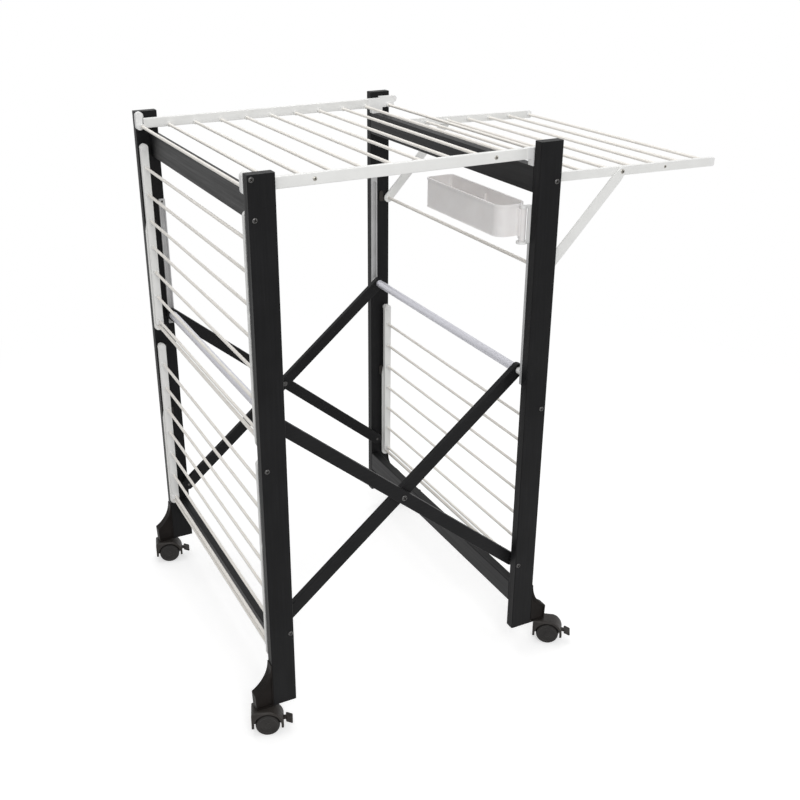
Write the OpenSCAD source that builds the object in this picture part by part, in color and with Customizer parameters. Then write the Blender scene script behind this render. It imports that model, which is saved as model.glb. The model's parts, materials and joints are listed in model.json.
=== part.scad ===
// Rolling clothes drying rack that folds flat.
// Two painted end frames are tied by a scissor brace on the front and back.
// A rod panel lies across the top, and four rod wings hang on the end frames,
// each with a stay that props it level. A peg basket swings on one post.
// X runs left to right, Y front to back, Z up. The floor is Z = 0 and the
// origin is midway between the four posts. Millimetres.

/* [End frames] */
// Width over the posts, left to right
frame_w = 575; // [470:1:690]
// Depth over the posts, front to back
frame_d = 670; // [550:1:810]
// Width of a post's broad face
post_w = 46; // [38:0.5:56]
// Thickness of a post
post_t = 19.7; // [16:0.1:24]
// Height of the boards that join two posts
rail_h = 45.5; // [36:0.5:55]
// Thickness of the boards that join two posts
rail_t = 19.5; // [16:0.5:24]
// Distance from a post's top down to the upper board
rail_drop = 44.5; // [40:0.5:55]
// Distance from a post's lower end up to the lower board
rail_lift = 59; // [50:0.5:72]
// Radius that eases the long edges of posts and boards
edge_r = 1.8; // [1:0.1:3]

/* [Scissor brace] */
// Width of a brace bar
brace_w = 25; // [20:0.5:30]
// Thickness of a brace bar
brace_t = 12; // [10:0.5:12.5]
// Height of the lower brace pivots above the posts' lower ends
brace_low = 152; // [125:1:182]
// Rise from a brace bar's lower pivot to its slider
brace_rise = 414.5; // [345:0.5:498]
// Distance from a post's outer side to the brace pivot
brace_inset = 39.5; // [38:0.5:41]
// Diameter of the tubes that tie the sliders front to back
tube_d = 17; // [14:0.5:20]
// Angle that a brace bar turns when the rack folds
fold = 46; // [38:0.5:46]

/* [Wings] */
// Distance from a post's outer side in to a wing's hinge
hinge_inset = 9.5; // [9:0.5:11]
// Distance from the posts' tops down to the upper hinges
upper_hinge = 70.5; // [66:0.5:84]
// Space between an upper wing's reach and the lower hinges
wing_space = 37.5; // [31:0.5:45]
// Space between a lower wing's reach and the posts' lower ends
wing_foot = 98.5; // [82:0.5:118]
// Length of a wing from its hinge to its free end
wing_len = 381; // [318:1:457]
// Height of a wing's side rail
wing_rail_h = 16; // [13.5:0.5:19]
// Thickness of a wing's side rail
wing_rail_t = 9; // [8:0.5:10]
// Rods across one wing
wing_rods = 7; // [5:1:8]
// Distance from a wing's hinge to its first rod
first_rod = 40; // [33:1:48]
// Angle from hanging to propped
wing_lift = 88.7; // [80:0.1:90]
// Diameter of every drying rod
rod_d = 6; // [5:0.5:7]

/* [Stays] */
// Distance from a wing's hinge to its stay's rivet
stay_pivot = 160.5; // [134:0.5:190]
// Distance that a folded stay's cross rod lies past its wing's free end
stay_over = 5.5; // [4.5:0.1:7]
// Width of a stay bar
stay_w = 20.5; // [17:0.5:22]
// Diameter of the rod across a stay's lower end
stay_rod_d = 7; // [6:0.5:8]
// Distance from a post's outer side in to the knob of a propped stay
knob_inset = 3.75; // [2.5:0.05:5.5]

/* [Top panel] */
// Rods across the top panel
panel_rods_n = 11; // [8:1:13]
// Height of the panel's side rail
panel_rail_h = 19.5; // [16:0.5:21]
// Distance from the posts' tops down to the panel's hinge
panel_hinge = 7.5; // [6.5:0.1:9]
// Distance from a post's outer side in to the panel's hinge
panel_inset = 6.5; // [5.5:0.1:9]

/* [Peg basket] */
// Distance from the posts' tops down to the basket's underside
basket_drop = 165.5; // [138:0.5:198]
// Length of the basket
basket_l = 262; // [218:1:314]
// Width of the basket
basket_w = 60; // [50:1:72]
// Height of the basket
basket_h = 56.5; // [47:0.5:68]
// Thickness of the basket's wall
basket_wall = 2.2; // [1.8:0.1:3]
// Radius of the basket's upright corners beside its hinge
basket_r = 22; // [18:1:24]
// Radius of the basket's upright corners at its far end
basket_far_r = 10; // [8:0.5:20]

/* [Casters] */
// Diameter of a wheel
wheel_d = 46; // [38:1:56]
// Width over a pair of wheels
wheel_span = 36; // [30:1:43]
// Height of the posts' lower ends above the wheels
wheel_clear = 8.6; // [7.5:0.1:11]
// Distance from a caster's swivel axis to its axle
trail = 18.2; // [15:0.1:22]
// Distance from a post's outer side to a caster's swivel axis
stem_out = 29.5; // [24.5:0.5:36]
// Angle each caster has swivelled: left front, left back, right front, right back
swivel = [-21, -15, -36, -30]; // [-180:1:180]

/* [Hidden] */
$fn = 48;
eps = 0.01;
gap = 0.3;                               // between pieces that move on each other
run = 0.05;                              // radial clearance of a pin in its bore
pin_r = 3;                               // every pivot screw

xo = frame_w / 2;                        // post's outer side
xi = xo - post_w;                        // post's inner side
xc = (xo + xi) / 2;
yo = frame_d / 2;                        // post's outer face
yi = yo - post_t;                        // post's inner face
yc = (yo + yi) / 2;
rail_x = xi + rail_t / 2;                // middle of the boards' thickness
// Brace
bx = xo - brace_inset;                   // pivots and guide channels
brace_a = atan2(brace_rise, 2 * bx);
brace_l = norm([brace_rise, 2 * bx]);
slide_travel = brace_l * sin(brace_a + fold) - brace_rise + 1.5;
slot_w = 8;
slider_r = 3.8;
channel_end = slot_w / 2 + 17;           // channel above the slot's last place

// Stays: from rivet to cross rod, and the angle turned against a propped wing
stay_len = wing_len + stay_over - stay_pivot;
stay_swing = wing_lift
    + asin((stay_pivot * sin(wing_lift) - hinge_inset + knob_inset) / stay_len);

// A post is as long as its wings need, or as its channel and the basket do
wing_reach = wing_len + stay_over + stay_w / 2;
basket_below = 14 + gap;                 // bracket's underside below the basket
post_len = max(upper_hinge + 2 * wing_reach + wing_space + wing_foot,
               brace_low + brace_rise + slide_travel + channel_end + 3 * gap
                   + basket_below + basket_drop);
post_foot = wheel_d + wheel_clear;
post_top = post_foot + post_len;
rail_top_z = post_top - rail_drop;
rail_low_z = post_foot + rail_lift;
bz = post_foot + brace_low;
sz = bz + brace_rise;                    // sliders

// Layers inside each post, from the post inwards
channel_t = 6;
stay_y0 = yi - 7;                        // stay bar, 3.7 thick
stay_y1 = yi - 3.3;
wing_y1 = stay_y0 - gap;                 // wing side rail
wing_y0 = wing_y1 - wing_rail_t;
outer_y1 = yi - channel_t - gap;         // outer brace bar
outer_y0 = outer_y1 - brace_t;
inner_y1 = outer_y0 - 0.5;               // inner brace bar
inner_y0 = inner_y1 - brace_t;

// Wings
hx = xo - hinge_inset;
hz = [post_top - upper_hinge - wing_reach - wing_space,
      post_top - upper_hinge];
wing_cap = 13;
wing_pitch = (wing_len - wing_cap + 5 - first_rod) / (wing_rods - 1);
collar_r = rod_d / 2 + 1.7;
collar_l = 5;
seat = 4;                                // depth a rod goes into its rail

// Top panel
pz = post_top - panel_hinge;             // hinge height
panel_y1 = yi - 2.8;
panel_y0 = panel_y1 - 9.5;
px = -xo + panel_inset;
panel_z0 = pz - 24.5;                    // underside of the side rail
panel_rod_z = panel_z0 + 4.2;
panel_end = xi - 12.5;                   // where the rail meets its foot
panel_cap_w = 16;
foot_z = rail_top_z + gap;
cap_z0 = pz - 28;                        // underside of the hinge end

// Basket
basket_x1 = xi - 2;                      // outer long side
basket_y0 = -yi + 6.3;                   // end beside the post
basket_z0 = post_top - basket_drop;
hinge_x = xi - 14;
hinge_y = -yi + 3.3;
barrel_r = 6;
barrel_z0 = basket_z0 - basket_below + 5 + gap;
barrel_z1 = basket_z0 + basket_h - 8;

// Casters
cx = xo + stem_out;
cy = yc;
wheel_r = wheel_d / 2;
hood_top = post_foot - 1.2;
hood_r = hood_top - wheel_r;
hood_w = wheel_span - 1;
stem_r = 3.5;
bracket_z0 = post_foot;
bracket_top = post_foot + 92;
bracket_out = cx + stem_r + 2.5;

black_wood = [0.13, 0.13, 0.13];
black_nylon = [0.16, 0.155, 0.15];
white_metal = [0.92, 0.915, 0.90];
white_plastic = [0.94, 0.94, 0.93];
grey_plastic = [0.70, 0.70, 0.70];
lilac_tube = [0.82, 0.82, 0.88];
nickel = [0.72, 0.72, 0.70];

// ---------------------------------------------------------------- helpers

// Rectangle with round corners, centred
module soft_rect(w, h, r) {
    square([w - 2 * r, h], center = true);
    square([w, h - 2 * r], center = true);
    for (i = [-1, 1], j = [-1, 1])
        translate([i * (w / 2 - r), j * (h / 2 - r)]) circle(r);
}

// Straight strip with round ends between two points of a plane
module strip(a, b, w) {
    d = b - a;
    translate(a) rotate(atan2(d[1], d[0]))
        translate([0, -w / 2]) square([norm(d), w]);
    translate(a) circle(w / 2);
    translate(b) circle(w / 2);
}

// Draws an X-Z outline as a plate from y0 to y1
module plate(y0, y1) {
    translate([0, y1, 0]) rotate([90, 0, 0]) linear_extrude(y1 - y0) children();
}

// Round bar along Y from y0 to y1
module rod_y(x, z, r, y0, y1) {
    translate([x, y0, z]) rotate([-90, 0, 0]) cylinder(r = r, h = y1 - y0);
}

// Mirrors its children to the front and the back
module both() {
    for (s = [-1, 1]) scale_y(s) children();
}
module scale_y(s) {
    if (s < 0) mirror([0, 1, 0]) children();
    else children();
}

// Turned pin along +Y: a list of [radius, from, to]
module turned(x, z, steps) {
    for (s = steps) rod_y(x, z, s[0], s[1], s[2]);
}

// ---------------------------------------------------------------- frames

// Pivot holes that a post carries, as [x, z]
function post_holes(side) = concat(
    [[side * bx, bz], [side * hx, hz[0]], [side * hx, hz[1]]],
    side < 0 ? [[px, pz]] : []);

module post(side, face) {
    color(black_wood) difference() {
        translate([side * xc, face * yc, post_foot])
            linear_extrude(post_len) soft_rect(post_w, post_t, edge_r);
        for (h = post_holes(side))
            rod_y(h[0], h[1], pin_r + run, face > 0 ? yi - 1 : -yo - 1, face > 0 ? yo + 1 : -yi + 1);
    }
}

module boards(side) {
    color(black_wood) for (z = [rail_low_z, rail_top_z - rail_h])
        translate([side * rail_x, yi, z + rail_h / 2]) rotate([90, 0, 0])
            linear_extrude(2 * yi) soft_rect(rail_t, rail_h, edge_r);
}

// Channel that a slider runs in, with a closed end above and below
module channels(side) {
    z0 = sz - slot_w / 2 - 18;
    z1 = sz + slide_travel + channel_end;
    color(grey_plastic) both() difference() {
        translate([side * bx - 6.5, yi - channel_t, z0]) cube([13, channel_t, z1 - z0]);
        plate(yi - channel_t - 1, yi - 1.5)
            strip([side * bx, sz], [side * bx, sz + slide_travel], slot_w);
    }
}

// Moulded foot that carries a caster beside the post
module bracket_outline() {
    h = bracket_top - bracket_z0;
    w = bracket_out - xo;
    bulge = 31.5;
    q = w - 2.5;
    p = h - bulge - 2;
    r = (q * q + p * p) / (2 * q);
    difference() {
        union() {
            polygon([[0, 0], [w - 1.5, 0], [w, bulge], [w - 3, bulge + 3], [w - 3, h], [0, h]]);
            translate([w - 3, bulge]) circle(3);
        }
        translate([r + 1.5, h]) circle(r, $fn = 96);
    }
}
module brackets(side) {
    rim = 3.2;
    color(black_nylon) both() scale_x(side) difference() {
        translate([xo, 0, bracket_z0]) plate(yi, yo) bracket_outline();
        // shallow panel on the front and the back leaves a rim
        for (f = [[yi - 1, yi + 2], [yo - 2, yo + 1]])
            translate([xo, 0, bracket_z0]) plate(f[0], f[1]) intersection() {
                translate([-rim, -rim]) bracket_outline();
                translate([2, rim]) square([200, 200]);
            }
        translate([cx, cy, bracket_z0 - 1]) cylinder(r = stem_r + run, h = 26);
    }
}
module scale_x(s) {
    if (s < 0) mirror([1, 0, 0]) children();
    else children();
}

// Hooked plate on a post's inner face, where a propped stay's knob seats
function knob_x() = hx + stay_pivot * sin(wing_lift)
    + stay_len * sin(wing_lift - stay_swing);
function knob_z(h) = h - stay_pivot * cos(wing_lift)
    - stay_len * cos(wing_lift - stay_swing);
module catches(side) {
    color(black_nylon) both() scale_x(side) for (h = hz) {
        kx = knob_x();
        kz = knob_z(h);
        plate(yi - 3, yi) difference() {
            union() {
                strip([kx - 17, kz + 12], [kx - 17, kz - 2.5], 10);
                translate([kx - 17, kz - 7.5]) square([17, 9]);
            }
            // the way in for the knob, from below and outside
            strip([kx, kz], [kx + 10.2, kz - 35], 10 + 2 * gap);
        }
    }
}

// Pivot screws: head, shank through the post, spacer, shank, inner head
module screws(side) {
    color(nickel) both() {
        for (h = hz) turned(side * hx, h, [
            [4.8, yo, yo + 2.2], [pin_r, wing_y0 - 2.3, yo + 1],
            [6, wing_y1 + gap, yi], [5, wing_y0 - 2.3, wing_y0 - gap]]);
        turned(side * bx, bz, [
            [4.8, yo, yo + 2.2],
            [pin_r, (side < 0 ? inner_y0 : outer_y0) - 0.45, yo + 1],
            [7, (side < 0 ? inner_y1 : outer_y1) + gap, yi]]);
        if (side < 0) turned(px, pz, [
            [4.8, yo, yo + 2.2], [pin_r, panel_y0 + 2, yo + 1]]);
    }
}

// Plate on the post's inner face with two arms, a flange and the basket's pin
module basket_bracket() {
    z0 = barrel_z0 - gap - 5;
    z1 = barrel_z1 + gap;
    color(white_plastic) {
        translate([xi - 5.5, -yi, z0]) cube([24, 3, z1 + 5 - z0]);
        for (z = [z0, z1]) translate([0, 0, z]) linear_extrude(5) {
            translate([hinge_x, hinge_y]) circle(barrel_r);
            translate([hinge_x, -yi]) square([xi - hinge_x, 6]);
        }
        translate([hinge_x, hinge_y, z0]) cylinder(r = 10, h = 4);
        translate([hinge_x, hinge_y, z0]) cylinder(r = pin_r, h = z1 + 5 - z0);
    }
}

// ---------------------------------------------------------------- brace

// Flat bar with round ends and eased edges, from its lower pivot to its slider
module brace_bar(dir, y0, y1) {
    a = [-dir * bx, bz];
    color(black_wood) difference() {
        translate([a[0], 0, a[1]]) rotate([0, -dir * brace_a, 0]) intersection() {
            plate(y0, y1) strip([0, 0], [dir * brace_l, 0], brace_w);
            translate([dir * brace_l / 2, (y0 + y1) / 2, 0]) rotate([90, 0, 90])
                linear_extrude(brace_l + brace_w + 2, center = true)
                    soft_rect(y1 - y0, brace_w, 1.5);
        }
        for (p = [a, [0, bz + brace_rise / 2], [dir * bx, sz]])
            rod_y(p[0], p[1], pin_r + run, y0 - 1, y1 + 1);
    }
}
module inner_bars() { both() brace_bar(1, inner_y0, inner_y1); }
module outer_bars() { both() brace_bar(-1, outer_y0, outer_y1); }

module cross_tube(side, y) {
    color(lilac_tube) difference() {
        rod_y(side * bx, sz, tube_d / 2, -y, y);
        rod_y(side * bx, sz, tube_d / 2 - 1.2, -y - 1, y + 1);
    }
}

// Plug in the tube, stub through the bar, roller, and slider in the slot
module sliders(side, y0, y1) {
    color(white_plastic) both() turned(side * bx, sz, [
        [tube_d / 2 - 1.2 - run, y0 - 12, y0], [pin_r, y0 - 1, y1 + 1],
        [6.5, y1, yi - channel_t - gap + (side < 0 ? eps : 0)],
        [slider_r, y1, yi - 2]]);
}

module brace_bolts() {
    color(nickel) both() turned(0, bz + brace_rise / 2, [
        [6, outer_y1, outer_y1 + 2.4], [pin_r, inner_y0 - 2.6, outer_y1 + 1],
        [6, inner_y0 - 2.6, inner_y0 - gap]]);
}

// ---------------------------------------------------------------- top panel

function panel_x(i) = -hx + 2 * hx * i / (panel_rods_n - 1);

// Collar that a rod plugs into, on the inner side of a rail at y0
module collar(x, z, y0) { rod_y(x, z, collar_r, y0 - collar_l, y0 + eps); }
module rod_seat(x, z, y0) { rod_y(x, z, rod_d / 2 + run, y0 - collar_l - 1, y0 + seat); }

module panel_rails() {
    x0 = px + panel_cap_w / 2;
    color(white_metal) both() difference() {
        union() {
            translate([(x0 + panel_end) / 2, panel_y1 - (panel_y1 - panel_y0) / 2,
                       panel_z0 + panel_rail_h / 2]) rotate([90, 0, 90])
                linear_extrude(panel_end - x0, center = true)
                    soft_rect(panel_y1 - panel_y0, panel_rail_h, 1.5);
            for (i = [1:panel_rods_n - 2]) if (panel_x(i) < panel_end - 3)
                collar(panel_x(i), panel_rod_z, panel_y0);
        }
        for (i = [1:panel_rods_n - 2]) if (panel_x(i) < panel_end - 3)
            rod_seat(panel_x(i), panel_rod_z, panel_y0);
    }
}

module panel_rods() {
    color(white_metal) for (i = [0:panel_rods_n - 1])
        rod_y(panel_x(i), panel_rod_z, rod_d / 2, -panel_y0 - seat, panel_y0 + seat);
}

// Moulded end that turns on the post's screw and holds the first rod
module panel_hinges() {
    r = panel_cap_w / 2;
    color(white_plastic) both() difference() {
        union() {
            plate(panel_y0, yi - gap) strip([px, cap_z0 + r], [px, pz], panel_cap_w);
            collar(-hx, panel_rod_z, panel_y0);
        }
        rod_seat(-hx, panel_rod_z, panel_y0);
        rod_y(px, pz, pin_r + run, panel_y0 + 1.5, yi);
    }
}

// Moulded right end: a step up, a lobe that rests on the board, and a round tip
module foot_outline() {
    z1 = panel_z0 + panel_rail_h;
    tip = xo + 5;
    translate([panel_end, panel_z0]) square([tip - panel_end, panel_rail_h]);
    translate([xi + 17, z1 - 2]) square([tip - xi - 17, 5.5]);
    translate([tip, z1 + 3.5 - 7]) circle(7);
    translate([tip - 6, panel_z0 + 6]) circle(6);
    // lobe
    translate([rail_x - 13, foot_z + 3]) square([26, panel_z0 - foot_z]);
    translate([rail_x - 10, foot_z]) square([20, 5]);
    for (s = [-1, 1]) translate([rail_x + s * 10, foot_z + 3]) circle(3);
}
module panel_feet() {
    color(white_plastic) both() difference() {
        union() {
            plate(panel_y0 - 0.5, panel_y1 + 0.5) foot_outline();
            for (i = [1:panel_rods_n - 1]) if (panel_x(i) > panel_end - 3)
                collar(panel_x(i), panel_rod_z, panel_y0 - 0.5);
        }
        for (i = [1:panel_rods_n - 1]) if (panel_x(i) > panel_end - 3)
            rod_seat(panel_x(i), panel_rod_z, panel_y0);
    }
}

// ---------------------------------------------------------------- wings

// Puts a hanging wing's pieces on its hinge, turned up by an angle
module at_wing(side, level, lift) {
    translate([side * hx, 0, hz[level]]) rotate([0, -side * lift, 0]) children();
}

module wing_rails() {
    end = wing_len - wing_cap;
    color(white_metal) both() difference() {
        union() {
            plate(wing_y0, wing_y1) {
                circle(wing_rail_h / 2 + 0.3);
                translate([-wing_rail_h / 2, -end]) square([wing_rail_h, end]);
            }
            for (i = [0:wing_rods - 2])
                collar(0, -first_rod - wing_pitch * i, wing_y0);
        }
        for (i = [0:wing_rods - 2])
            rod_seat(0, -first_rod - wing_pitch * i, wing_y0);
        rod_y(0, 0, pin_r + run, wing_y0 - 1, wing_y1 + 1);
        rod_y(0, -stay_pivot, 2.5 + run, wing_y0 - 1, wing_y1 + 1);
    }
}

module wing_rods() {
    color(white_metal) for (i = [0:wing_rods - 1])
        rod_y(0, -first_rod - wing_pitch * i, rod_d / 2, -wing_y0 - seat, wing_y0 + seat);
}

// Moulded cap on the free end of each side rail; it holds the last rod
module wing_caps() {
    z = -first_rod - wing_pitch * (wing_rods - 1);
    w = wing_rail_h + 0.8;
    color(white_plastic) both() difference() {
        union() {
            plate(wing_y0 - 0.4, wing_y1) {
                translate([-w / 2, -wing_len + 4]) square([w, wing_cap - 4]);
                translate([-w / 2 + 4, -wing_len]) square([w - 8, 5]);
                for (s = [-1, 1]) translate([s * (w / 2 - 4), -wing_len + 4]) circle(4);
            }
            collar(0, z, wing_y0 - 0.4);
        }
        rod_seat(0, z, wing_y0);
    }
}

// Flat bar that narrows to the side rail's height at its rivet
module stay_bar() {
    r = wing_rail_h / 2;
    strip([0, -14], [0, -stay_len], stay_w);
    circle(r);
    polygon([[-r, 0], [r, 0], [stay_w / 2, -14], [-stay_w / 2, -14]]);
}

// Two bars riveted to the side rails, joined by a rod at their lower ends
module wing_stay(swing, side) {
    color(white_metal) translate([0, 0, -stay_pivot]) rotate([0, side * swing, 0]) {
        both() {
            plate(stay_y0, stay_y1) stay_bar();
            turned(0, 0, [[2.5, wing_y0 + 0.5, stay_y0 + 1], [4, stay_y1 - 1, stay_y1 + 1.4]]);
            rod_y(0, -stay_len, 5, stay_y1 - 1, yi - gap - 0.1);
        }
        rod_y(0, -stay_len, stay_rod_d / 2, -stay_y0 - 1, stay_y0 + 1);
    }
}

// ---------------------------------------------------------------- basket

// Plan of the basket: wide corners beside the hinge, tighter ones far from it
module basket_plan(grow) {
    w = basket_w + 2 * grow;
    l = basket_l + 2 * grow;
    translate([basket_x1 - basket_w / 2, basket_y0 + basket_l / 2])
        for (e = [[-l, basket_r], [-1, basket_far_r]]) intersection() {
            soft_rect(w, l, e[1] + grow);
            translate([-w, e[0]]) square([2 * w, l + 1]);
        }
}
module basket() {
    color(white_plastic) difference() {
        union() {
            translate([0, 0, basket_z0]) linear_extrude(basket_h) basket_plan(-1.2);
            // rolled rim and foot bead
            translate([0, 0, basket_z0 + basket_h - 4]) linear_extrude(4) basket_plan(0);
            translate([0, 0, basket_z0]) linear_extrude(1.5) basket_plan(-0.6);
            // hinge barrel and the web that sweeps from it into the end wall
            translate([hinge_x, hinge_y, barrel_z0]) cylinder(r = barrel_r, h = barrel_z1 - barrel_z0);
            translate([0, 0, basket_z0]) linear_extrude(barrel_z1 - basket_z0) {
                translate([hinge_x - 4, hinge_y]) square([8, 16]);
                difference() {
                    translate([hinge_x - 14, hinge_y - 1]) square([11, 9]);
                    translate([hinge_x - 14, hinge_y - 1]) circle(6);
                }
            }
            translate([hinge_x - 3, hinge_y, barrel_z0 + 3]) cube([6, 9, 8]);
        }
        difference() {
            translate([0, 0, basket_z0 + basket_wall]) linear_extrude(basket_h)
                basket_plan(-1.2 - basket_wall);
            // a rib inside each long wall, halfway along
            for (x = [basket_x1 - basket_w, basket_x1 - 8.4])
                translate([x, basket_y0 + basket_l / 2 - 1, basket_z0])
                    cube([8.4, 2, basket_h - 11]);
        }
        translate([hinge_x, hinge_y, barrel_z0 - 1])
            cylinder(r = pin_r + run, h = barrel_z1 - barrel_z0 + 2);
        // relief in the rim for the bracket's upper arm
        translate([hinge_x, hinge_y, barrel_z1]) cylinder(r = barrel_r + gap, h = basket_h);
    }
}

// ---------------------------------------------------------------- casters

// Local axes: the swivel axis is Z, the wheel trails toward +X
module at_caster(side, face) {
    translate([side * cx, face * cy, 0])
        rotate([0, 0, swivel[(side > 0 ? 2 : 0) + (face > 0 ? 1 : 0)]]) children();
}

well_r = wheel_r + 2.7;                  // inside of the hood over the wheels
pedal_a = 8;                             // where the pedal's pin sits on the hood
pedal_r = (well_r + hood_r) / 2;
pedal_x = trail + pedal_r * cos(pedal_a);
pedal_z = wheel_r + pedal_r * sin(pedal_a);
pedal_pin = 1.2;

module hood() {
    left = trail - hood_r;
    foot = wheel_r - 6;
    color(black_nylon) difference() {
        union() {
            intersection() {
                plate(-hood_w / 2, hood_w / 2) difference() {
                    union() {
                        translate([trail, wheel_r]) circle(hood_r, $fn = 96);
                        translate([left, wheel_r]) square([trail - left, hood_r - 7]);
                        translate([left + 8, hood_top - 9]) square([trail - left - 8, 9]);
                        translate([left + 8, hood_top - 8]) circle(8);
                        translate([left, foot]) square([8, wheel_r - foot]);
                    }
                    translate([left - 1, -10]) square([2 * hood_r + 2, foot + 10]);
                }
                translate([trail, 0, hood_top - 40]) rotate([90, 0, 90])
                    linear_extrude(2 * hood_r + 10, center = true) soft_rect(hood_w, 80, 6);
            }
            // swivel stem and the shoulder that carries the bracket
            translate([0, 0, hood_top - 4]) cylinder(r = 7, h = bracket_z0 - gap - hood_top + 4);
            translate([0, 0, wheel_r + 8]) cylinder(r = stem_r, h = bracket_z0 + 15 - wheel_r);
        }
        // wheel wells, open below and to the sides
        for (s = [-1, 1]) scale_y(s) {
            translate([trail, 3.6, wheel_r]) rotate([-90, 0, 0])
                cylinder(r = well_r, h = hood_w, $fn = 96);
            translate([trail - well_r, 3.6, -1]) cube([2 * well_r, hood_w, wheel_r + 1]);
        }
        rod_y(trail, wheel_r, pin_r + run, -5, 5);
        // slot and bore for the brake pedal
        translate([pedal_x - 3, -4.3, pedal_z - 12]) cube([12, 8.6, 17]);
        rod_y(pedal_x, pedal_z, pedal_pin + run, -8.2, 8.2);
    }
}

// Two discs on one axle, with a crowned tread and a dished outer side
function disc_half(w0, w1, r) = [
    [pin_r, w0], [r - 4, w0], [r - 1.2, w0 + 0.8], [r, w0 + 3.2], [r, w1 - 4],
    [r - 1, w1 - 1.4], [r - 3.2, w1 - 0.3], [r - 5, w1 - 1.2], [10, w1 - 0.2], [8, w1]];
module wheels() {
    half = disc_half(4, wheel_span / 2, wheel_r);
    n = len(half);
    color(black_nylon) translate([trail, 0, wheel_r]) rotate([-90, 0, 0])
        rotate_extrude($fn = 96) polygon(concat(
            [[0, -wheel_span / 2]],
            [for (i = [1:n]) [half[n - i][0], -half[n - i][1]]],
            half, [[0, wheel_span / 2]]));
}

// Pedal that tips down on its pin to brake the wheels
module pedal() {
    a = [pedal_x, pedal_z];
    color(black_nylon) {
        rod_y(pedal_x, pedal_z, pedal_pin, -8, 8);
        plate(-4, 4) strip(a, a + [8.5, 0], 4.4);
        plate(-11, 11) strip(a + [8.5, 0], a + [17.5, -4], 4);
    }
}

// ---------------------------------------------------------------- nodes

post(-1, -1);  // left_front_post
post(-1, 1);  // left_back_post
boards(-1);  // left_boards
channels(-1);  // left_channels
brackets(-1);  // left_brackets
catches(-1);  // left_catches
screws(-1);  // left_screws
post(1, -1);  // right_front_post
post(1, 1);  // right_back_post
boards(1);  // right_boards
channels(1);  // right_channels
brackets(1);  // right_brackets
catches(1);  // right_catches
screws(1);  // right_screws
basket_bracket();
inner_bars();
cross_tube(1, inner_y0);  // right_tube
sliders(1, inner_y0, inner_y1);  // right_sliders
outer_bars();
cross_tube(-1, outer_y0);  // left_tube
sliders(-1, outer_y0, outer_y1);  // left_sliders
brace_bolts();
panel_rails();
panel_rods();
panel_hinges();
panel_feet();
at_wing(-1, 1, 0) wing_rails();  // upper_left_rails
at_wing(-1, 1, 0) wing_rods();  // upper_left_rods
at_wing(-1, 1, 0) wing_caps();  // upper_left_caps
at_wing(-1, 1, 0) wing_stay(0, -1);  // upper_left_stay
at_wing(-1, 0, 0) wing_rails();  // lower_left_rails
at_wing(-1, 0, 0) wing_rods();  // lower_left_rods
at_wing(-1, 0, 0) wing_caps();  // lower_left_caps
at_wing(-1, 0, 0) wing_stay(0, -1);  // lower_left_stay
at_wing(1, 1, wing_lift) wing_rails();  // upper_right_rails
at_wing(1, 1, wing_lift) wing_rods();  // upper_right_rods
at_wing(1, 1, wing_lift) wing_caps();  // upper_right_caps
at_wing(1, 1, wing_lift) wing_stay(stay_swing, 1);  // upper_right_stay
at_wing(1, 0, 0) wing_rails();  // lower_right_rails
at_wing(1, 0, 0) wing_rods();  // lower_right_rods
at_wing(1, 0, 0) wing_caps();  // lower_right_caps
at_wing(1, 0, 0) wing_stay(0, 1);  // lower_right_stay
basket();
at_caster(-1, -1) hood();  // left_front_hood
at_caster(-1, -1) wheels();  // left_front_wheels
at_caster(-1, -1) pedal();  // left_front_pedal
at_caster(-1, 1) hood();  // left_back_hood
at_caster(-1, 1) wheels();  // left_back_wheels
at_caster(-1, 1) pedal();  // left_back_pedal
at_caster(1, -1) hood();  // right_front_hood
at_caster(1, -1) wheels();  // right_front_wheels
at_caster(1, -1) pedal();  // right_front_pedal
at_caster(1, 1) hood();  // right_back_hood
at_caster(1, 1) wheels();  // right_back_wheels
at_caster(1, 1) pedal();  // right_back_pedal
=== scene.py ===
"""Looks of a folding clothes drying rack on casters.

Painted beech frames on a scissor brace, powder-coated rod panels, moulded fittings.
"""
import json
import math
import bpy
import bmesh
from mathutils import Matrix, Vector


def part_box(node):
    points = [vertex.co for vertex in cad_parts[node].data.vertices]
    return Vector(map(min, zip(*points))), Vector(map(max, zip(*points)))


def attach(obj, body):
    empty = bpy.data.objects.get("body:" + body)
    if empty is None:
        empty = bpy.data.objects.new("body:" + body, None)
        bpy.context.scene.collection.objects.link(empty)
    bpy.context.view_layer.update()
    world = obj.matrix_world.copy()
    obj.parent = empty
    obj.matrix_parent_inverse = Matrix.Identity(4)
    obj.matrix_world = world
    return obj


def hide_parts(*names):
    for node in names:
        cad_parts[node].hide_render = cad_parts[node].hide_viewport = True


MM = 0.001

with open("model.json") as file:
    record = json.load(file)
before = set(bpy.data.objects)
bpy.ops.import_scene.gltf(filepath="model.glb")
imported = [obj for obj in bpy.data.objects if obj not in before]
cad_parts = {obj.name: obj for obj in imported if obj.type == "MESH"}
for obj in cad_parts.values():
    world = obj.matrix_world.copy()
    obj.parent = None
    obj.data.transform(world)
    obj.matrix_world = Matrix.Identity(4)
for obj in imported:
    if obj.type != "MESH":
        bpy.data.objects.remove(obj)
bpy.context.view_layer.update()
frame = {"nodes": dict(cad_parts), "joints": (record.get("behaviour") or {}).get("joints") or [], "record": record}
scene = bpy.context.scene
bodies = frame["record"]["behaviour"]["bodies"]
body_of = {node: body for body, nodes in bodies.items() for node in nodes}
joint = {j["name"]: j for j in frame["joints"]}
SIDES = {"left": -1, "right": 1}                  # which way along X each side lies
CORNERS = [side + "_" + face for side in SIDES for face in ("front", "back")]
WINGS = ("upper_left", "lower_left", "upper_right", "lower_right")


# ------------------------------------------------------------------ camera and studio

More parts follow.
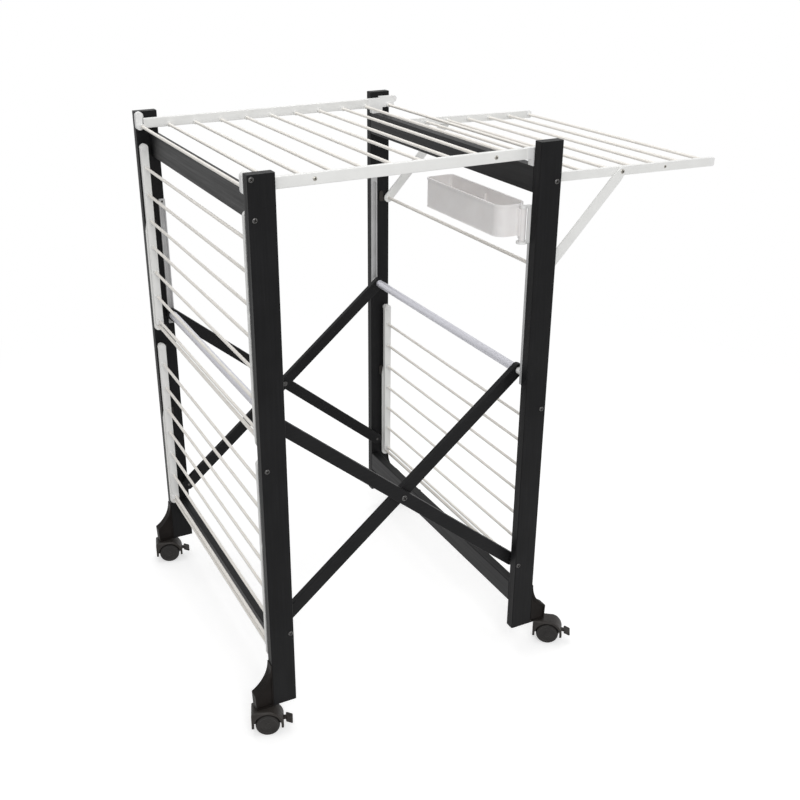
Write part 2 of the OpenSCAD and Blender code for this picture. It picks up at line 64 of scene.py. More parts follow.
EYE = (-0.8090, -1.8049, 1.3992)
YAW_DEG, PITCH_DEG, ROLL_DEG = 25.1, 23.9, -0.7
LENS_MM = 47.061
SHIFT = (0.06175, -0.019125)


def aim_camera():
    """Camera in front of the rack's left end, a little above its top."""
    yaw, pitch, roll = (math.radians(angle) for angle in (YAW_DEG, PITCH_DEG, ROLL_DEG))
    ahead = Vector((math.sin(yaw) * math.cos(pitch), math.cos(yaw) * math.cos(pitch),
                    -math.sin(pitch)))
    right = Vector((math.cos(yaw), -math.sin(yaw), 0))
    up = right.cross(ahead)
    right, up = (right * math.cos(roll) + up * math.sin(roll),
                 up * math.cos(roll) - right * math.sin(roll))
    data = bpy.data.cameras.new("camera")
    data.sensor_width = 36
    data.lens = LENS_MM
    data.shift_x, data.shift_y = SHIFT
    data.clip_end = 30
    camera = bpy.data.objects.new("camera", data)
    camera.matrix_world = Matrix((
        (right.x, up.x, -ahead.x, EYE[0]), (right.y, up.y, -ahead.y, EYE[1]),
        (right.z, up.z, -ahead.z, EYE[2]), (0, 0, 0, 1)))
    scene.collection.objects.link(camera)
    scene.camera = camera


def softbox(name, place, target, size, watts):
    data = bpy.data.lights.new(name, "AREA")
    data.shape = "RECTANGLE"
    data.size, data.size_y = size
    data.energy = watts
    lamp = bpy.data.objects.new(name, data)
    lamp.location = place
    lamp.rotation_euler = (Vector(target) - Vector(place)).to_track_quat("-Z", "Y").to_euler()
    scene.collection.objects.link(lamp)


# ------------------------------------------------------------------ shader helpers

def linear(code):
    """sRGB hex code to a linear RGBA tuple."""
    parts = [int(code[i:i + 2], 16) / 255 for i in (1, 3, 5)]
    return tuple(p / 12.92 if p <= 0.04045 else ((p + 0.055) / 1.055) ** 2.4
                 for p in parts) + (1.0,)


def grey(level):
    return (level, level, level, 1)


def add(tree, kind, links=(), **settings):
    """Adds one node. Keywords are its settings or its inputs' values; links join sockets."""
    node = tree.nodes.new(kind)
    for key, value in settings.items():
        if hasattr(node, key):
            setattr(node, key, value)
    for key, value in settings.items():
        if not hasattr(node, key):
            wanted = key.replace("_", " ").lower()
            next(s for s in node.inputs if s.name.lower() == wanted and s.enabled
                 ).default_value = value
    for source, target in links:
        tree.links.new(source, node.inputs[target])
    return node


def new_material(name):
    material = bpy.data.materials.new(name)
    material.use_nodes = True
    tree = material.node_tree
    tree.nodes.clear()
    shader = add(tree, "ShaderNodeBsdfPrincipled")
    add(tree, "ShaderNodeOutputMaterial", [(shader.outputs[0], "Surface")])
    return material, tree, shader, add(tree, "ShaderNodeTexCoord").outputs["Object"]


def ramp(tree, factor, stops):
    """Colour ramp from (position, colour) pairs."""
    node = add(tree, "ShaderNodeValToRGB", [(factor, "Fac")])
    while len(node.color_ramp.elements) < len(stops):
        node.color_ramp.elements.new(0.5)
    for element, (position, colour) in zip(node.color_ramp.elements, stops):
        element.position, element.color = position, colour
    return node.outputs["Color"]


def noise(tree, place, size_mm, detail=3.0, rough=0.5, stretch=None, turn=(0, 0, 0)):
    """Noise whose features are about size_mm across; stretch lengthens them along an axis."""
    if stretch:
        place = add(tree, "ShaderNodeMapping", [(place, "Vector")], Rotation=turn,
                    Scale=tuple(1 / s for s in stretch)).outputs["Vector"]
    return add(tree, "ShaderNodeTexNoise", [(place, "Vector")], Scale=1000 / size_mm,
               Detail=detail, Roughness=rough).outputs["Fac"]


def bump(tree, shader, heights):
    """Chains bumps, each (height, depth in mm)."""
    normal = None
    for height, depth_mm in heights:
        links = [(height, "Height")] + ([(normal, "Normal")] if normal else [])
        normal = add(tree, "ShaderNodeBump", links, Strength=1.0,
                     Distance=depth_mm * MM).outputs["Normal"]
    tree.links.new(normal, shader.inputs["Normal"])


# ------------------------------------------------------------------ finishes

def painted_beech(name, turn, stretch, gloss):
    """Beech board, sanded and painted black with a brush: satin, the grain just telegraphs."""
    material, tree, shader, place = new_material(name)
    pores = noise(tree, place, 2.0, 4, 0.65, stretch, turn)
    brush = noise(tree, place, 5.5, 3, 0.55, stretch, turn)
    cloud = noise(tree, place, 80, 3)
    colour = ramp(tree, cloud, [(0.3, linear("#141415")), (0.7, linear("#1b1b1c"))])
    fleck = ramp(tree, pores, [(0.35, grey(0.80)), (0.65, grey(1.12))])
    mixed = add(tree, "ShaderNodeMix", [(colour, 6), (fleck, 7)], data_type="RGBA",
                blend_type="MULTIPLY")
    mixed.inputs[0].default_value = 1.0
    tree.links.new(mixed.outputs[2], shader.inputs["Base Color"])
    shine = ramp(tree, brush, [(0.3, grey(0.42)), (0.7, grey(0.54))])
    tree.links.new(shine, shader.inputs["Roughness"])
    shader.inputs["Specular IOR Level"].default_value = gloss
    bump(tree, shader, [(pores, 0.09), (brush, 0.06), (noise(tree, place, 0.9, 2), 0.02)])
    return material


def powder_coat(name, low, high, rough):
    """Steel tube under white polyester powder: fine orange peel and a soft gloss."""
    material, tree, shader, place = new_material(name)
    colour = ramp(tree, noise(tree, place, 45, 3), [(0.3, linear(low)), (0.7, linear(high))])
    tree.links.new(colour, shader.inputs["Base Color"])
    shine = ramp(tree, noise(tree, place, 9, 3), [(0.35, grey(rough[0])), (0.65, grey(rough[1]))])
    tree.links.new(shine, shader.inputs["Roughness"])
    shader.inputs["Specular IOR Level"].default_value = 0.4
    # drawn coarser than the real 0.4 mm peel so that it shows
    bump(tree, shader, [(noise(tree, place, 1.5, 2), 0.030)])
    return material


def moulded(name, low, high, rough, texture_mm, depth_mm, scatter=0.0, specular=0.4):
    """Injection-moulded plastic: an eroded tool texture and slight flow marks."""
    material, tree, shader, place = new_material(name)
    flow = noise(tree, place, 30, 3, 0.55)
    colour = ramp(tree, flow, [(0.3, linear(low)), (0.7, linear(high))])
    tree.links.new(colour, shader.inputs["Base Color"])
    shine = ramp(tree, noise(tree, place, 6, 4), [(0.3, grey(rough[0])), (0.7, grey(rough[1]))])
    tree.links.new(shine, shader.inputs["Roughness"])
    shader.inputs["Specular IOR Level"].default_value = specular
    if scatter:
        shader.inputs["Subsurface Weight"].default_value = scatter
        shader.inputs["Subsurface Radius"].default_value = (3.0 * MM, 2.6 * MM, 2.2 * MM)
    bump(tree, shader, [(noise(tree, place, texture_mm, 2), depth_mm)])
    return material


def anodised(name):
    """Drawn aluminium tube, satin anodised with a faint lilac cast and drawing lines."""
    material, tree, shader, place = new_material(name)
    lines = noise(tree, place, 0.9, 3, 0.6, (1, 60, 1))
    colour = ramp(tree, lines, [(0.3, linear("#d0d0d7")), (0.7, linear("#dcdce3"))])
    tree.links.new(colour, shader.inputs["Base Color"])
    shader.inputs["Metallic"].default_value = 0.35
    rough = ramp(tree, lines, [(0.3, grey(0.34)), (0.7, grey(0.44))])
    tree.links.new(rough, shader.inputs["Roughness"])
    bump(tree, shader, [(lines, 0.02)])
    return material


def plated(name, low, high):
    """Plated steel, nickel or black zinc: fine turning marks and handling haze."""
    material, tree, shader, place = new_material(name)
    cloud = noise(tree, place, 4, 3)
    colour = ramp(tree, cloud, [(0.3, linear(low)), (0.7, linear(high))])
    tree.links.new(colour, shader.inputs["Base Color"])
    shader.inputs["Metallic"].default_value = 1.0
    rough = ramp(tree, noise(tree, place, 1.2, 3), [(0.3, grey(0.22)), (0.7, grey(0.36))])
    tree.links.new(rough, shader.inputs["Roughness"])
    bump(tree, shader, [(noise(tree, place, 0.7, 2), 0.01)])
    return material


BRACE = math.radians(39.885)                      # rise of a brace bar
finish = {
    "post": painted_beech("painted beech, upright grain", (0, 0, 0), (1, 1, 40), 0.11),
    "board": painted_beech("painted beech, grain front to back", (0, 0, 0), (1, 40, 1), 0.20),
    "inner_bar": painted_beech("painted beech, rising bar", (0, BRACE, 0), (40, 1, 1), 0.13),
    "outer_bar": painted_beech("painted beech, falling bar", (0, -BRACE, 0), (40, 1, 1), 0.13),
    "rail": powder_coat("white powder-coated rail", "#e6e6e4", "#ececea", (0.36, 0.46)),
    "rod": powder_coat("white powder-coated rod", "#f0ece5", "#f5f1eb", (0.34, 0.44)),
    "cap": moulded("white moulded polyamide", "#e8e8e7", "#efefee", (0.36, 0.48), 0.9, 0.03),
    "basket": moulded("white moulded polypropylene", "#e8e5e4", "#edebea", (0.32, 0.44), 1.2,
                      0.03, scatter=0.06),
    "channel": moulded("grey moulded acetal", "#b4b4b4", "#c0c0c0", (0.34, 0.46), 0.9, 0.03),
    "fitting": moulded("black moulded polyamide", "#262321", "#312d2a", (0.44, 0.60), 0.8, 0.06,
                       specular=0.25),
    "bracket": moulded("black moulded polyamide, caster bracket", "#151210", "#1d1917",
                       (0.46, 0.60), 0.8, 0.06, specular=0.10),
    "wheel": moulded("black moulded wheel", "#22201f", "#2c2a28", (0.42, 0.60), 0.9, 0.05,
                     specular=0.25),
    "tube": anodised("anodised tie tube"),
    "nickel": plated("nickel-plated steel", "#97948d", "#b0ada6"),
    "dark_steel": plated("black zinc-plated steel", "#4b4a4a", "#5f5e5d"),
    # the recess finish is nickel painted near black: painted shade in the screws' cross recesses
    "recess": plated("nickel painted with shade in a screw's recess", "#1c1b1a", "#282624"),
}

# what the nodes of each kind are made of, by the end of their names
FINISH_BY_ENDING = [
    ("_post", "post"), ("_boards", "board"), ("inner_bars", "inner_bar"),
    ("outer_bars", "outer_bar"), ("_channels", "channel"), ("_brackets", "bracket"),
    ("_catches", "fitting"), ("_hood", "fitting"), ("_pedal", "fitting"),
    ("_wheels", "wheel"), ("_screws", "dark_steel"), ("_bolts", "dark_steel"),
    ("_tube", "tube"), ("_rods", "rod"), ("_rails", "rail"), ("_stay", "rail"),
    ("basket", "basket")]


def finish_of(node):
    """The node's finish; sliders, caps, hinge ends and feet are white polyamide."""
    for ending, label in FINISH_BY_ENDING:
        if node.endswith(ending):
            return finish[label]
    return finish["cap"]


# ------------------------------------------------------------------ mesh helpers

def settle(piece):
    """Applies the piece's modifiers, so that it is a plain mesh."""
    graph = bpy.context.evaluated_depsgraph_get()
    mesh = bpy.data.meshes.new_from_object(piece.evaluated_get(graph), depsgraph=graph)
    piece.modifiers.clear()
    piece.data = mesh
    mesh.name = piece.name


def shade(mesh, angle=30):
    """Smooth faces, with edges sharper than the angle kept crisp."""
    work = bmesh.new()
    work.from_mesh(mesh)
    limit = math.radians(angle)
    for face in work.faces:
        face.smooth = True
    for edge in work.edges:
        edge.smooth = len(edge.link_faces) == 2 and edge.calc_face_angle(0) < limit
    work.to_mesh(mesh)
    work.free()


def from_bmesh(name, work, material=None):
    mesh = bpy.data.meshes.new(name)
    work.normal_update()
    work.to_mesh(mesh)
    work.free()
    piece = bpy.data.objects.new(name, mesh)
    scene.collection.objects.link(piece)
    if material:
        mesh.materials.append(material)
    return piece


def merged(mesh):
    """A mesh opened as a clean shell: its doubles merged and its flat faces joined up."""
    work = bmesh.new()
    work.from_mesh(mesh)
    bmesh.ops.remove_doubles(work, verts=work.verts, dist=2e-6)
    bmesh.ops.dissolve_limit(work, angle_limit=math.radians(0.5), verts=work.verts,
                             edges=work.edges)
    return work


def merged_copy(node):
    """A clean copy of a node's solid, as a piece of its own."""
    return from_bmesh(node + "_soft", merged(frame["nodes"][node].data))


def stand_for(piece, node, angle=30):
    """The finished piece takes the node's place, its body and its finish."""
    shade(piece.data, angle)
    # large flat faces keep their own direction beside an eased edge
    modifier = piece.modifiers.new("flat faces", "WEIGHTED_NORMAL")
    modifier.keep_sharp = True
    settle(piece)
    piece.data.materials.clear()
    piece.data.materials.append(finish_of(node))
    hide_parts(node)
    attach(piece, body_of[node])


def ease(piece, width_mm, segments=2):
    """Rounds the piece's edges off."""
    modifier = piece.modifiers.new("ease", "BEVEL")
    modifier.width, modifier.segments = width_mm * MM, segments
    modifier.limit_method, modifier.angle_limit = "ANGLE", math.radians(32)
    settle(piece)


def eased(node, width_mm, segments=2):
    """The node's solid with its edges rounded off, standing for the node."""
    piece = merged_copy(node)
    ease(piece, width_mm, segments)
    stand_for(piece, node)


def second_finish(piece, material, inside):
    """Gives a second finish to the faces whose middles are inside."""
    piece.data.materials.append(material)
    for face in piece.data.polygons:
        if inside(face.center):
            face.material_index = 1


# ------------------------------------------------------------------ geometry nodes

def new_tree(name, inputs):
    """Geometry-node tree with the named inputs, as (name, socket type)."""
    tree = bpy.data.node_groups.new(name, "GeometryNodeTree")
    for label, kind in [("Geometry", "Geometry")] + inputs:
        tree.interface.new_socket(label, in_out="INPUT", socket_type="NodeSocket" + kind)
    tree.interface.new_socket("Geometry", in_out="OUTPUT", socket_type="NodeSocketGeometry")
    return tree, add(tree, "NodeGroupInput").outputs


def end_tree(tree, geometry, material, selection=None):
    """Realises the instances and sets their material, which ends the tree."""
    real = add(tree, "GeometryNodeRealizeInstances", [(geometry, "Geometry")])
    links = [(real.outputs[0], "Geometry"), (material, "Material")]
    if selection:
        links.append((selection, "Selection"))
    made = add(tree, "GeometryNodeSetMaterial", links)
    add(tree, "NodeGroupOutput", [(made.outputs[0], "Geometry")])


def attribute(tree, name):
    node = add(tree, "GeometryNodeInputNamedAttribute", data_type="FLOAT_VECTOR", Name=name)
    return next(socket for socket in node.outputs if socket.enabled)


def grow(name, tree, values, start=None):
    """Runs a tree on a start mesh and keeps the result as one plain mesh."""
    piece = bpy.data.objects.new(name, start or bpy.data.meshes.new(name))
    scene.collection.objects.link(piece)
    modifier = piece.modifiers.new("grow", "NODES")
    modifier.node_group = tree
    for socket in tree.interface.items_tree:
        if socket.in_out == "INPUT" and socket.name in values:
            modifier[socket.identifier] = values[socket.name]
    settle(piece)
    return piece


def marks(name, places):
    """Loose points, each with the direction and the size of what stands on it."""
    mesh = bpy.data.meshes.new(name)
    mesh.from_pydata([tuple(place[0]) for place in places], [], [])
    for label, column in (("aim", 1), ("size", 2)):
        layer = mesh.attributes.new(label, "FLOAT_VECTOR", "POINT")
        layer.data.foreach_set("vector", [v for place in places for v in place[column]])
    return mesh


def row_tree():
    """A row of round bars on a line of points: drying rods, and the ribs of a pedal."""
    tree, given = new_tree("row of round bars", [
        ("Count", "Int"), ("Start", "Vector"), ("Offset", "Vector"), ("Turn", "Vector"),
        ("Length", "Float"), ("Radius", "Float"), ("Sides", "Int"), ("Finish", "Material")])
    line = add(tree, "GeometryNodeMeshLine", [
        (given["Count"], "Count"), (given["Start"], "Start Location"),
        (given["Offset"], "Offset")])
    bar = add(tree, "GeometryNodeMeshCylinder", [
        (given["Sides"], "Vertices"), (given["Radius"], "Radius"), (given["Length"], "Depth")])
    row = add(tree, "GeometryNodeInstanceOnPoints", [
        (line.outputs[0], "Points"), (bar.outputs[0], "Instance"), (given["Turn"], "Rotation")])
    end_tree(tree, row.outputs[0], given["Finish"])
    return tree


def screw_tree():
    """Domed screw heads with a cross recess, one on each point, turned at random; the recess gets a near-black
    finish as painted shade.
    """
    tree, given = new_tree("cross recess screws", [
        ("Recess width", "Float"), ("Recess length", "Float"), ("Recess depth", "Float"),
        ("Seed", "Int"), ("Finish", "Material"), ("Recess painted shade", "Material")])
    dome = add(tree, "GeometryNodeMeshUVSphere", Segments=28, Rings=14, Radius=1.0)
    arms = []
    for order in ((0, 1), (1, 0)):
        size = add(tree, "ShaderNodeCombineXYZ")
        for axis, label in zip(order, ("Recess length", "Recess width")):
            tree.links.new(given[label], size.inputs[axis])
        tree.links.new(given["Recess depth"], size.inputs[2])
        arm = add(tree, "GeometryNodeMeshCube", [(size.outputs[0], "Size")])
        arms.append(add(tree, "GeometryNodeTransform", [(arm.outputs[0], "Geometry")],
                        Translation=(0, 0, 1)).outputs[0])
    cross = add(tree, "GeometryNodeMeshBoolean", operation="UNION", solver="EXACT")
    for arm in arms:
        tree.links.new(arm, cross.inputs["Mesh 2"])
    # the cut faces of the cross take the recess finish, painted shade inside the recess
    dark = add(tree, "GeometryNodeSetMaterial", [
        (cross.outputs[0], "Geometry"), (given["Recess painted shade"], "Material")])
    head = add(tree, "GeometryNodeMeshBoolean", [
        (dome.outputs[0], "Mesh 1"), (dark.outputs[0], "Mesh 2")],
        operation="DIFFERENCE", solver="EXACT")
    aim = add(tree, "FunctionNodeAlignRotationToVector", [(attribute(tree, "aim"), "Vector")],
              axis="Z")
    angle = add(tree, "FunctionNodeRandomValue", data_type="FLOAT", Max=3.14159)
    tree.links.new(given["Seed"], angle.inputs["Seed"])
    spin = add(tree, "FunctionNodeAxisAngleToRotation", Axis=(0, 0, 1))
    tree.links.new(next(s for s in angle.outputs if s.enabled), spin.inputs["Angle"])
    turn = add(tree, "FunctionNodeRotateRotation", [
        (aim.outputs[0], "Rotation"), (spin.outputs[0], "Rotate By")], rotation_space="LOCAL")
    row = add(tree, "GeometryNodeInstanceOnPoints", [
        (given["Geometry"], "Points"), (head.outputs[0], "Instance"),
        (turn.outputs[0], "Rotation"), (attribute(tree, "size"), "Scale")])
    in_painted_shade = add(tree, "GeometryNodeMaterialSelection", [
        (given["Recess painted shade"], "Material")])
    bright = add(tree, "FunctionNodeBooleanMath", [(in_painted_shade.outputs[0], 0)], operation="NOT")
    end_tree(tree, row.outputs[0], given["Finish"], bright.outputs[0])
    return tree


def rib_tree():
    """Ribs laid across an arc at an even pitch, for each point: the brackets' outer faces."""
    tree, given = new_tree("ribs along an arc", [
        ("Arc centre", "Vector"), ("Arc radius", "Float"), ("First angle", "Float"),
        ("Sweep", "Float"), ("Pitch", "Float"), ("Rib length", "Float"),
        ("Rib radius", "Float"), ("Finish", "Material")])
    arc = add(tree, "GeometryNodeCurveArc", [
        (given["Arc radius"], "Radius"), (given["First angle"], "Start Angle"),
        (given["Sweep"], "Sweep Angle")], mode="RADIUS", Resolution=64)
    # the arc is drawn in X-Y; a quarter turn about X stands it up in X-Z
    upright = add(tree, "GeometryNodeTransform", [
        (arc.outputs[0], "Geometry"), (given["Arc centre"], "Translation")],
        Rotation=(math.pi / 2, 0, 0))
    steps = add(tree, "GeometryNodeResampleCurve", [
        (upright.outputs[0], "Curve"), (given["Pitch"], "Length")], mode="LENGTH")
    rib = add(tree, "GeometryNodeMeshCylinder", [
        (given["Rib radius"], "Radius"), (given["Rib length"], "Depth")], Vertices=12)
    ribs = add(tree, "GeometryNodeInstanceOnPoints", [
        (steps.outputs[0], "Points"), (rib.outputs[0], "Instance")],
        Rotation=(math.pi / 2, 0, 0))
    sets = add(tree, "GeometryNodeInstanceOnPoints", [
        (given["Geometry"], "Points"), (ribs.outputs[0], "Instance"),
        (attribute(tree, "aim"), "Rotation")])
    end_tree(tree, sets.outputs[0], given["Finish"])
    return tree


# ------------------------------------------------------------------ frames and brace

# width of each eased edge in millimetres
for corner in CORNERS:
    eased(corner + "_post", 1.0)
for side in SIDES:
    for part, width_mm, segments in (("_boards", 1.0, 2), ("_channels", 0.6, 2),
                                     ("_catches", 0.5, 2), ("_brackets", 0.9, 3),
                                     ("_sliders", 0.4, 2)):
        eased(side + part, width_mm, segments)
for node, width_mm, segments in (("inner_bars", 0.9, 2), ("outer_bars", 0.9, 2),
                                 ("basket_bracket", 0.6, 2), ("panel_rails", 0.8, 2),
                                 ("panel_hinges", 1.2, 3), ("panel_feet", 1.2, 3)):
    eased(node, width_mm, segments)
for wing in WINGS:
    eased(wing + "_rails", 0.7)
    eased(wing + "_caps", 1.0, 3)


def pressed(node, reach, flush, near=None):
    """Copy of a node with whatever stands past reach on Y pressed down to flush."""
    piece = merged_copy(node)
    for vertex in piece.data.vertices:
        if abs(vertex.co.y) > reach and (near is None or near(vertex.co)):
            vertex.co.y = math.copysign(flush, vertex.co.y)
    return piece


post_face = abs(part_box("left_front_post")[0][1])
post_inside = abs(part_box("left_front_post")[1][1])
brace_pivot = joint["fold"]["pos_m"][2]
for node in ("left_screws", "right_screws"):
    # the domed heads with their recess are a mesh of their own, below
    piece = pressed(node, post_face + 0.1 * MM, post_face + 0.15 * MM)
    stand_for(piece, node)
    # a white cap closes each hinge pin of the wings and the top panel
    second_finish(piece, finish["cap"], lambda co: abs(co.y) < post_inside
                  and abs(co.z - brace_pivot) > 20 * MM)
bolt_face = abs(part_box("outer_bars")[0][1])
stand_for(pressed("brace_bolts", bolt_face + 0.1 * MM, bolt_face + 0.15 * MM), "brace_bolts")

for side in SIDES:
    tube = frame["nodes"][side + "_tube"]
    tube.data.materials.clear()
    tube.data.materials.append(finish["tube"])


# ------------------------------------------------------------------ stays

def rivet_of(wing):
    return Vector(joint[wing + "_stay_pivot"]["pos_m"])


stay_face = abs(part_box("upper_left_rails")[0][1]) + 4.0 * MM
for wing in WINGS:
    rivet = rivet_of(wing)
    piece = pressed(wing + "_stay", stay_face + 0.05 * MM, stay_face, lambda co: math.hypot(
        co.x - rivet.x, co.z - rivet.z) < 6 * MM)
    work = merged(piece.data)
    work.to_mesh(piece.data)
    work.free()
    ease(piece, 0.6)
    stand_for(piece, wing + "_stay")
    # the rod across the stay has the drying rods' finish
    second_finish(piece, finish["rod"], lambda co: abs(co.y) < stay_face - 15 * MM)


# ------------------------------------------------------------------ rods

rods = row_tree()


def lay_rods(node, count, first, last, length, radius):
    """Rods of one panel or wing, from the first rod's middle to the last one's."""
    step = (Vector(last) - Vector(first)) / (count - 1)
    piece = grow(node + "_round", rods, {
        "Count": count, "Start": tuple(first), "Offset": tuple(step),
        "Turn": (math.pi / 2, 0, 0), "Length": length, "Radius": radius, "Sides": 24,
        "Finish": finish["rod"]})
    stand_for(piece, node)


ROD = 3.0 * MM                                    # radius of a drying rod
for wing in WINGS:
    low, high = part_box(wing + "_rods")
    if wing == "upper_right":
        ends = (low[0] + ROD, 0, high[2] - ROD), (high[0] - ROD, 0, low[2] + ROD)
    else:
        middle = (low[0] + high[0]) / 2
        ends = (middle, 0, high[2] - ROD), (middle, 0, low[2] + ROD)
    lay_rods(wing + "_rods", 7, *ends, high[1] - low[1], ROD)
low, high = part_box("panel_rods")
level = (low[2] + high[2]) / 2
lay_rods("panel_rods", 11, (low[0] + ROD, 0, level), (high[0] - ROD, 0, level),
         high[1] - low[1], ROD)


# ------------------------------------------------------------------ screws

screws = screw_tree()
heads = {body: [] for body in bodies}


def screw(body, x, y, z, radius_mm, height_mm, facing=None):
    """Marks a screw head on a face that looks along Y, away from the rack or into it."""
    way = facing if facing is not None else math.copysign(1, y)
    heads[body].append(((x, y, z), (0, way, 0),
                        (radius_mm * MM, radius_mm * MM, height_mm * MM)))


for side in SIDES:
    pivots = [joint[level + side + "_hinge"]["pos_m"] for level in ("upper_", "lower_")]
    pivots.append(joint["fold" if side == "left" else "right_foot_pivot"]["pos_m"])
    if side == "left":
        pivots.append(joint["panel_hinge"]["pos_m"])
    for x, _, z in pivots:
        for face in (-1, 1):
            screw(side + "_frame", x, face * post_face, z, 4.8, 2.2)
    # guide channels are held by a flush screw above and below the slot
    low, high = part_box(side + "_channels")
    for z in (low[2] + 7 * MM, high[2] - 5 * MM):
        for face in (-1, 1):
            inner = high[1] - 6 * MM
            screw(side + "_frame", (low[0] + high[0]) / 2, face * inner, z, 2.5, 0.12, -face)
x, _, z = joint["brace_cross"]["pos_m"]
for face in (-1, 1):
    screw("outer_brace", x, face * bolt_face, z, 6.0, 2.35)
low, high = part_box("panel_rails")
rail_face, rail_mid = high[1], (low[2] + high[2]) / 2
first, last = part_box("panel_rods")[0][0] + ROD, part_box("panel_rods")[1][0] - ROD
for number in (3, 9):
    for face in (-1, 1):
        screw("top_panel", first + (last - first) * (number - 1) / 10, face * rail_face,
              rail_mid, 3.7, 1.3)
RAIL_SCREW_MM = 262                               # from a wing's hinge, by the fifth rod
for wing in WINGS:
    hinge, rivet = Vector(joint[wing + "_hinge"]["pos_m"]), rivet_of(wing)
    rail = abs(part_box(wing + "_rails")[0][1])
    place = hinge + (rivet - hinge).normalized() * RAIL_SCREW_MM * MM
    for face in (-1, 1):
        screw(wing + "_wing", place.x, face * rail, place.z, 3.0, 0.22)
        screw(wing + "_stay", rivet.x, face * stay_face, rivet.z, 4.3, 1.4)
low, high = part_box("basket_bracket")
for z in (low[2] + 14 * MM, high[2] - 14 * MM):
    screw("right_frame", high[0] - 8 * MM, low[1] + 3 * MM, z, 3.0, 0.8, 1)

for number, (body, places) in enumerate(heads.items()):
    if not places:
        continue
    piece = grow(body + "_screw_heads", screws, {
        "Recess width": 0.30, "Recess length": 1.25, "Recess depth": 1.1, "Seed": number + 3,
        # the recess faces are painted near black as painted shade
        "Recess painted shade": finish["recess"],
        "Finish": finish["dark_steel" if body.endswith(("_frame", "_brace")) else "nickel"]},
        marks(body + "_screw_places", places))
    shade(piece.data, 35)
    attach(piece, body)


# ------------------------------------------------------------------ casters

def lathe(name, profile, place, axis, sides=96):
    """Turns a closed (radius, along) profile in millimetres about an axis through a place."""
    work = bmesh.new()
    side = axis.orthogonal().normalized()
    out = axis.cross(side)
    rings = []
    for step in range(sides):
        turn = 2 * math.pi * step / sides
        ray = side * math.cos(turn) + out * math.sin(turn)
        rings.append([work.verts.new(place + ray * r * MM + axis * y * MM)
                      for r, y in profile])
    for a, b in zip(rings, rings[1:] + rings[:1]):
        for i in range(len(profile) - 1):
            work.faces.new((a[i], b[i], b[i + 1], a[i + 1]))
    for index in (0, -1):
        if profile[index][0] > 0.01:
            loop = [ring[index] for ring in rings]
            work.faces.new(loop if index else loop[::-1])
    bmesh.ops.remove_doubles(work, verts=work.verts, dist=1e-6)
    bmesh.ops.recalc_face_normals(work, faces=work.faces)
    return from_bmesh(name, work)


def wheel_profile(span, radius):
    """Half of a twin wheel, from the axle out: hub cap, dished face, crowned tread."""
    half = [(0.0, span), (4.2, span), (5.6, span - 0.25), (6.4, span - 1.1), (7.0, span - 1.3),
            (10.0, span - 1.45), (14.5, span - 1.9), (16.2, span - 1.7), (17.4, span - 0.9),
            (18.6, span - 0.35), (20.0, span - 0.3), (radius - 1.5, span - 0.9),
            (radius - 0.6, span - 2.0), (radius - 0.15, span - 3.6), (radius, span - 5.5),
            (radius, 8.5), (radius - 0.2, 6.9), (radius - 1.0, 5.2), (radius - 2.4, 4.2),
            (radius - 4.0, 4.0), (3.0, 4.0)]
    return half + [(r, -y) for r, y in reversed(half)]


WHEEL_SPAN_MM, WHEEL_R_MM = 18.0, 23.0            # half the pair's width, and its radius
ribs = rib_tree()
for side, sign in SIDES.items():
    for face in ("front", "back"):
        corner = side + "_" + face
        eased(corner + "_hood", 0.8, 3)
        eased(corner + "_pedal", 0.5)
        roll = joint[corner + "_roll"]
        axle, axis = Vector(roll["pos_m"]), Vector(roll["axis"]).normalized()
        wheel = lathe(corner + "_wheels_turned", wheel_profile(WHEEL_SPAN_MM, WHEEL_R_MM),
                      axle, axis)
        stand_for(wheel, corner + "_wheels", 26)
        # tread ribs on the brake pedal's paddle, across its width
        swivel = Vector(joint[corner + "_swivel"]["pos_m"])
        trail = (axle - Vector((swivel.x, swivel.y, axle.z))).normalized()
        pin = Vector(joint[corner + "_brake_pedal"]["pos_m"])
        turned = math.atan2(trail.y, trail.x)
        down = Vector((trail.x * 9, trail.y * 9, -4)) * MM
        start = pin + Vector((trail.x * 10.2, trail.y * 10.2, 1.35)) * MM
        piece = grow(corner + "_pedal_ribs", rods, {
            "Count": 4, "Start": tuple(start), "Offset": tuple(down / 4.4),
            "Turn": (math.pi / 2, 0, turned), "Length": 19 * MM, "Radius": 0.55 * MM,
            "Sides": 12, "Finish": finish["fitting"]})
        shade(piece.data)
        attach(piece, body_of[corner + "_pedal"])
    # a bracket's outer face is an arc of 68 mm from the post down to its bulge
    low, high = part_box(side + "_brackets")
    outer = abs(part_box(side + "_front_post")[0 if side == "left" else 1][0])
    middle = abs(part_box("left_front_post")[0][1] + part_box("left_front_post")[1][1]) / 2
    places = [((sign * outer, face * middle, low[2]), (0, 0, 0 if sign > 0 else math.pi),
               (1, 1, 1)) for face in (-1, 1)]
    piece = grow(side + "_bracket_ribs", ribs, {
        "Arc centre": (69.85 * MM, 0, 92 * MM), "Arc radius": 68.5 * MM,
        "First angle": math.radians(196), "Sweep": math.radians(36), "Pitch": 2.4 * MM,
        "Rib length": 16.4 * MM, "Rib radius": 0.6 * MM, "Finish": finish["bracket"]},
        marks(side + "_bracket_places", places))
    shade(piece.data)
    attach(piece, side + "_frame")


# ------------------------------------------------------------------ peg basket

eased("basket", 0.7, 3)


# ------------------------------------------------------------------ studio

def looks_straight(tree):
    """One for camera, glossy and transmission rays, which see the backdrop itself."""
    path = add(tree, "ShaderNodeLightPath")
    sharp = add(tree, "ShaderNodeMath", [
        (path.outputs["Is Camera Ray"], 0), (path.outputs["Is Glossy Ray"], 1)],
        operation="MAXIMUM")
    both = add(tree, "ShaderNodeMath", [
        (sharp.outputs[0], 0), (path.outputs["Is Transmission Ray"], 1)], operation="MAXIMUM")
    return both.outputs[0]


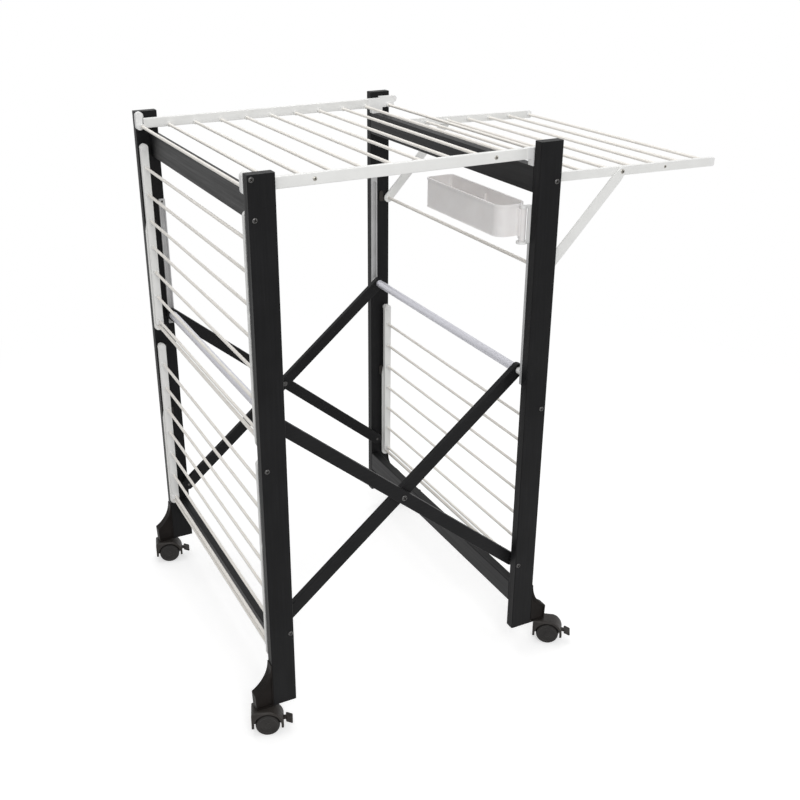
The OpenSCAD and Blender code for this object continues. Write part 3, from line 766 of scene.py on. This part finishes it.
def studio_paper():
    """Matt white paper; to the camera it is lit up to white, and keeps the rack's shadow."""
    material = bpy.data.materials.new("matt white studio paper")
    material.use_nodes = True
    tree = material.node_tree
    tree.nodes.clear()
    place = add(tree, "ShaderNodeTexCoord").outputs["Object"]
    paper = add(tree, "ShaderNodeBsdfDiffuse", Color=linear("#dcdcdc"))
    lift = add(tree, "ShaderNodeEmission", Color=grey(1), Strength=0.50)
    near = add(tree, "ShaderNodeAddShader", [(paper.outputs[0], 0), (lift.outputs[0], 1)])
    far = add(tree, "ShaderNodeEmission", Color=grey(1), Strength=1.0)
    reach = add(tree, "ShaderNodeVectorMath", [(place, 0)], operation="LENGTH")
    # metres from the rack's middle over which the floor gives way to plain white
    fade = add(tree, "ShaderNodeMapRange", [(reach.outputs["Value"], "Value")],
               From_Min=0.9, From_Max=2.0)
    seen = add(tree, "ShaderNodeMixShader", [
        (fade.outputs[0], 0), (near.outputs[0], 1), (far.outputs[0], 2)])
    mixed = add(tree, "ShaderNodeMixShader", [
        (looks_straight(tree), 0), (paper.outputs[0], 1), (seen.outputs[0], 2)])
    add(tree, "ShaderNodeOutputMaterial", [(mixed.outputs[0], "Surface")])
    return material


def build_studio():
    """Paper floor, white surroundings and three soft boxes."""
    work = bmesh.new()
    bmesh.ops.create_grid(work, x_segments=8, y_segments=8, size=12)
    floor = from_bmesh("studio_floor", work, studio_paper())
    world = scene.world or bpy.data.worlds.new("studio")
    scene.world = world
    world.use_nodes = True
    tree = world.node_tree
    tree.nodes.clear()
    dim = add(tree, "ShaderNodeBackground", Color=grey(1), Strength=0.44)
    white = add(tree, "ShaderNodeBackground", Color=grey(1), Strength=1.0)
    mixed = add(tree, "ShaderNodeMixShader", [
        (looks_straight(tree), 0), (dim.outputs[0], 1), (white.outputs[0], 2)])
    add(tree, "ShaderNodeOutputWorld", [(mixed.outputs[0], "Surface")])
    softbox("key", (-1.0, -3.2, 2.7), (0, 0, 0.6), (2.0, 2.0), 60)
    softbox("fill", (3.4, -2.2, 1.9), (0, 0, 0.5), (1.8, 1.8), 15)
    softbox("top", (0.2, 0.5, 3.2), (0, 0, 0.5), (2.0, 2.0), 31)


aim_camera()
build_studio()
scene.view_settings.view_transform = "Standard"
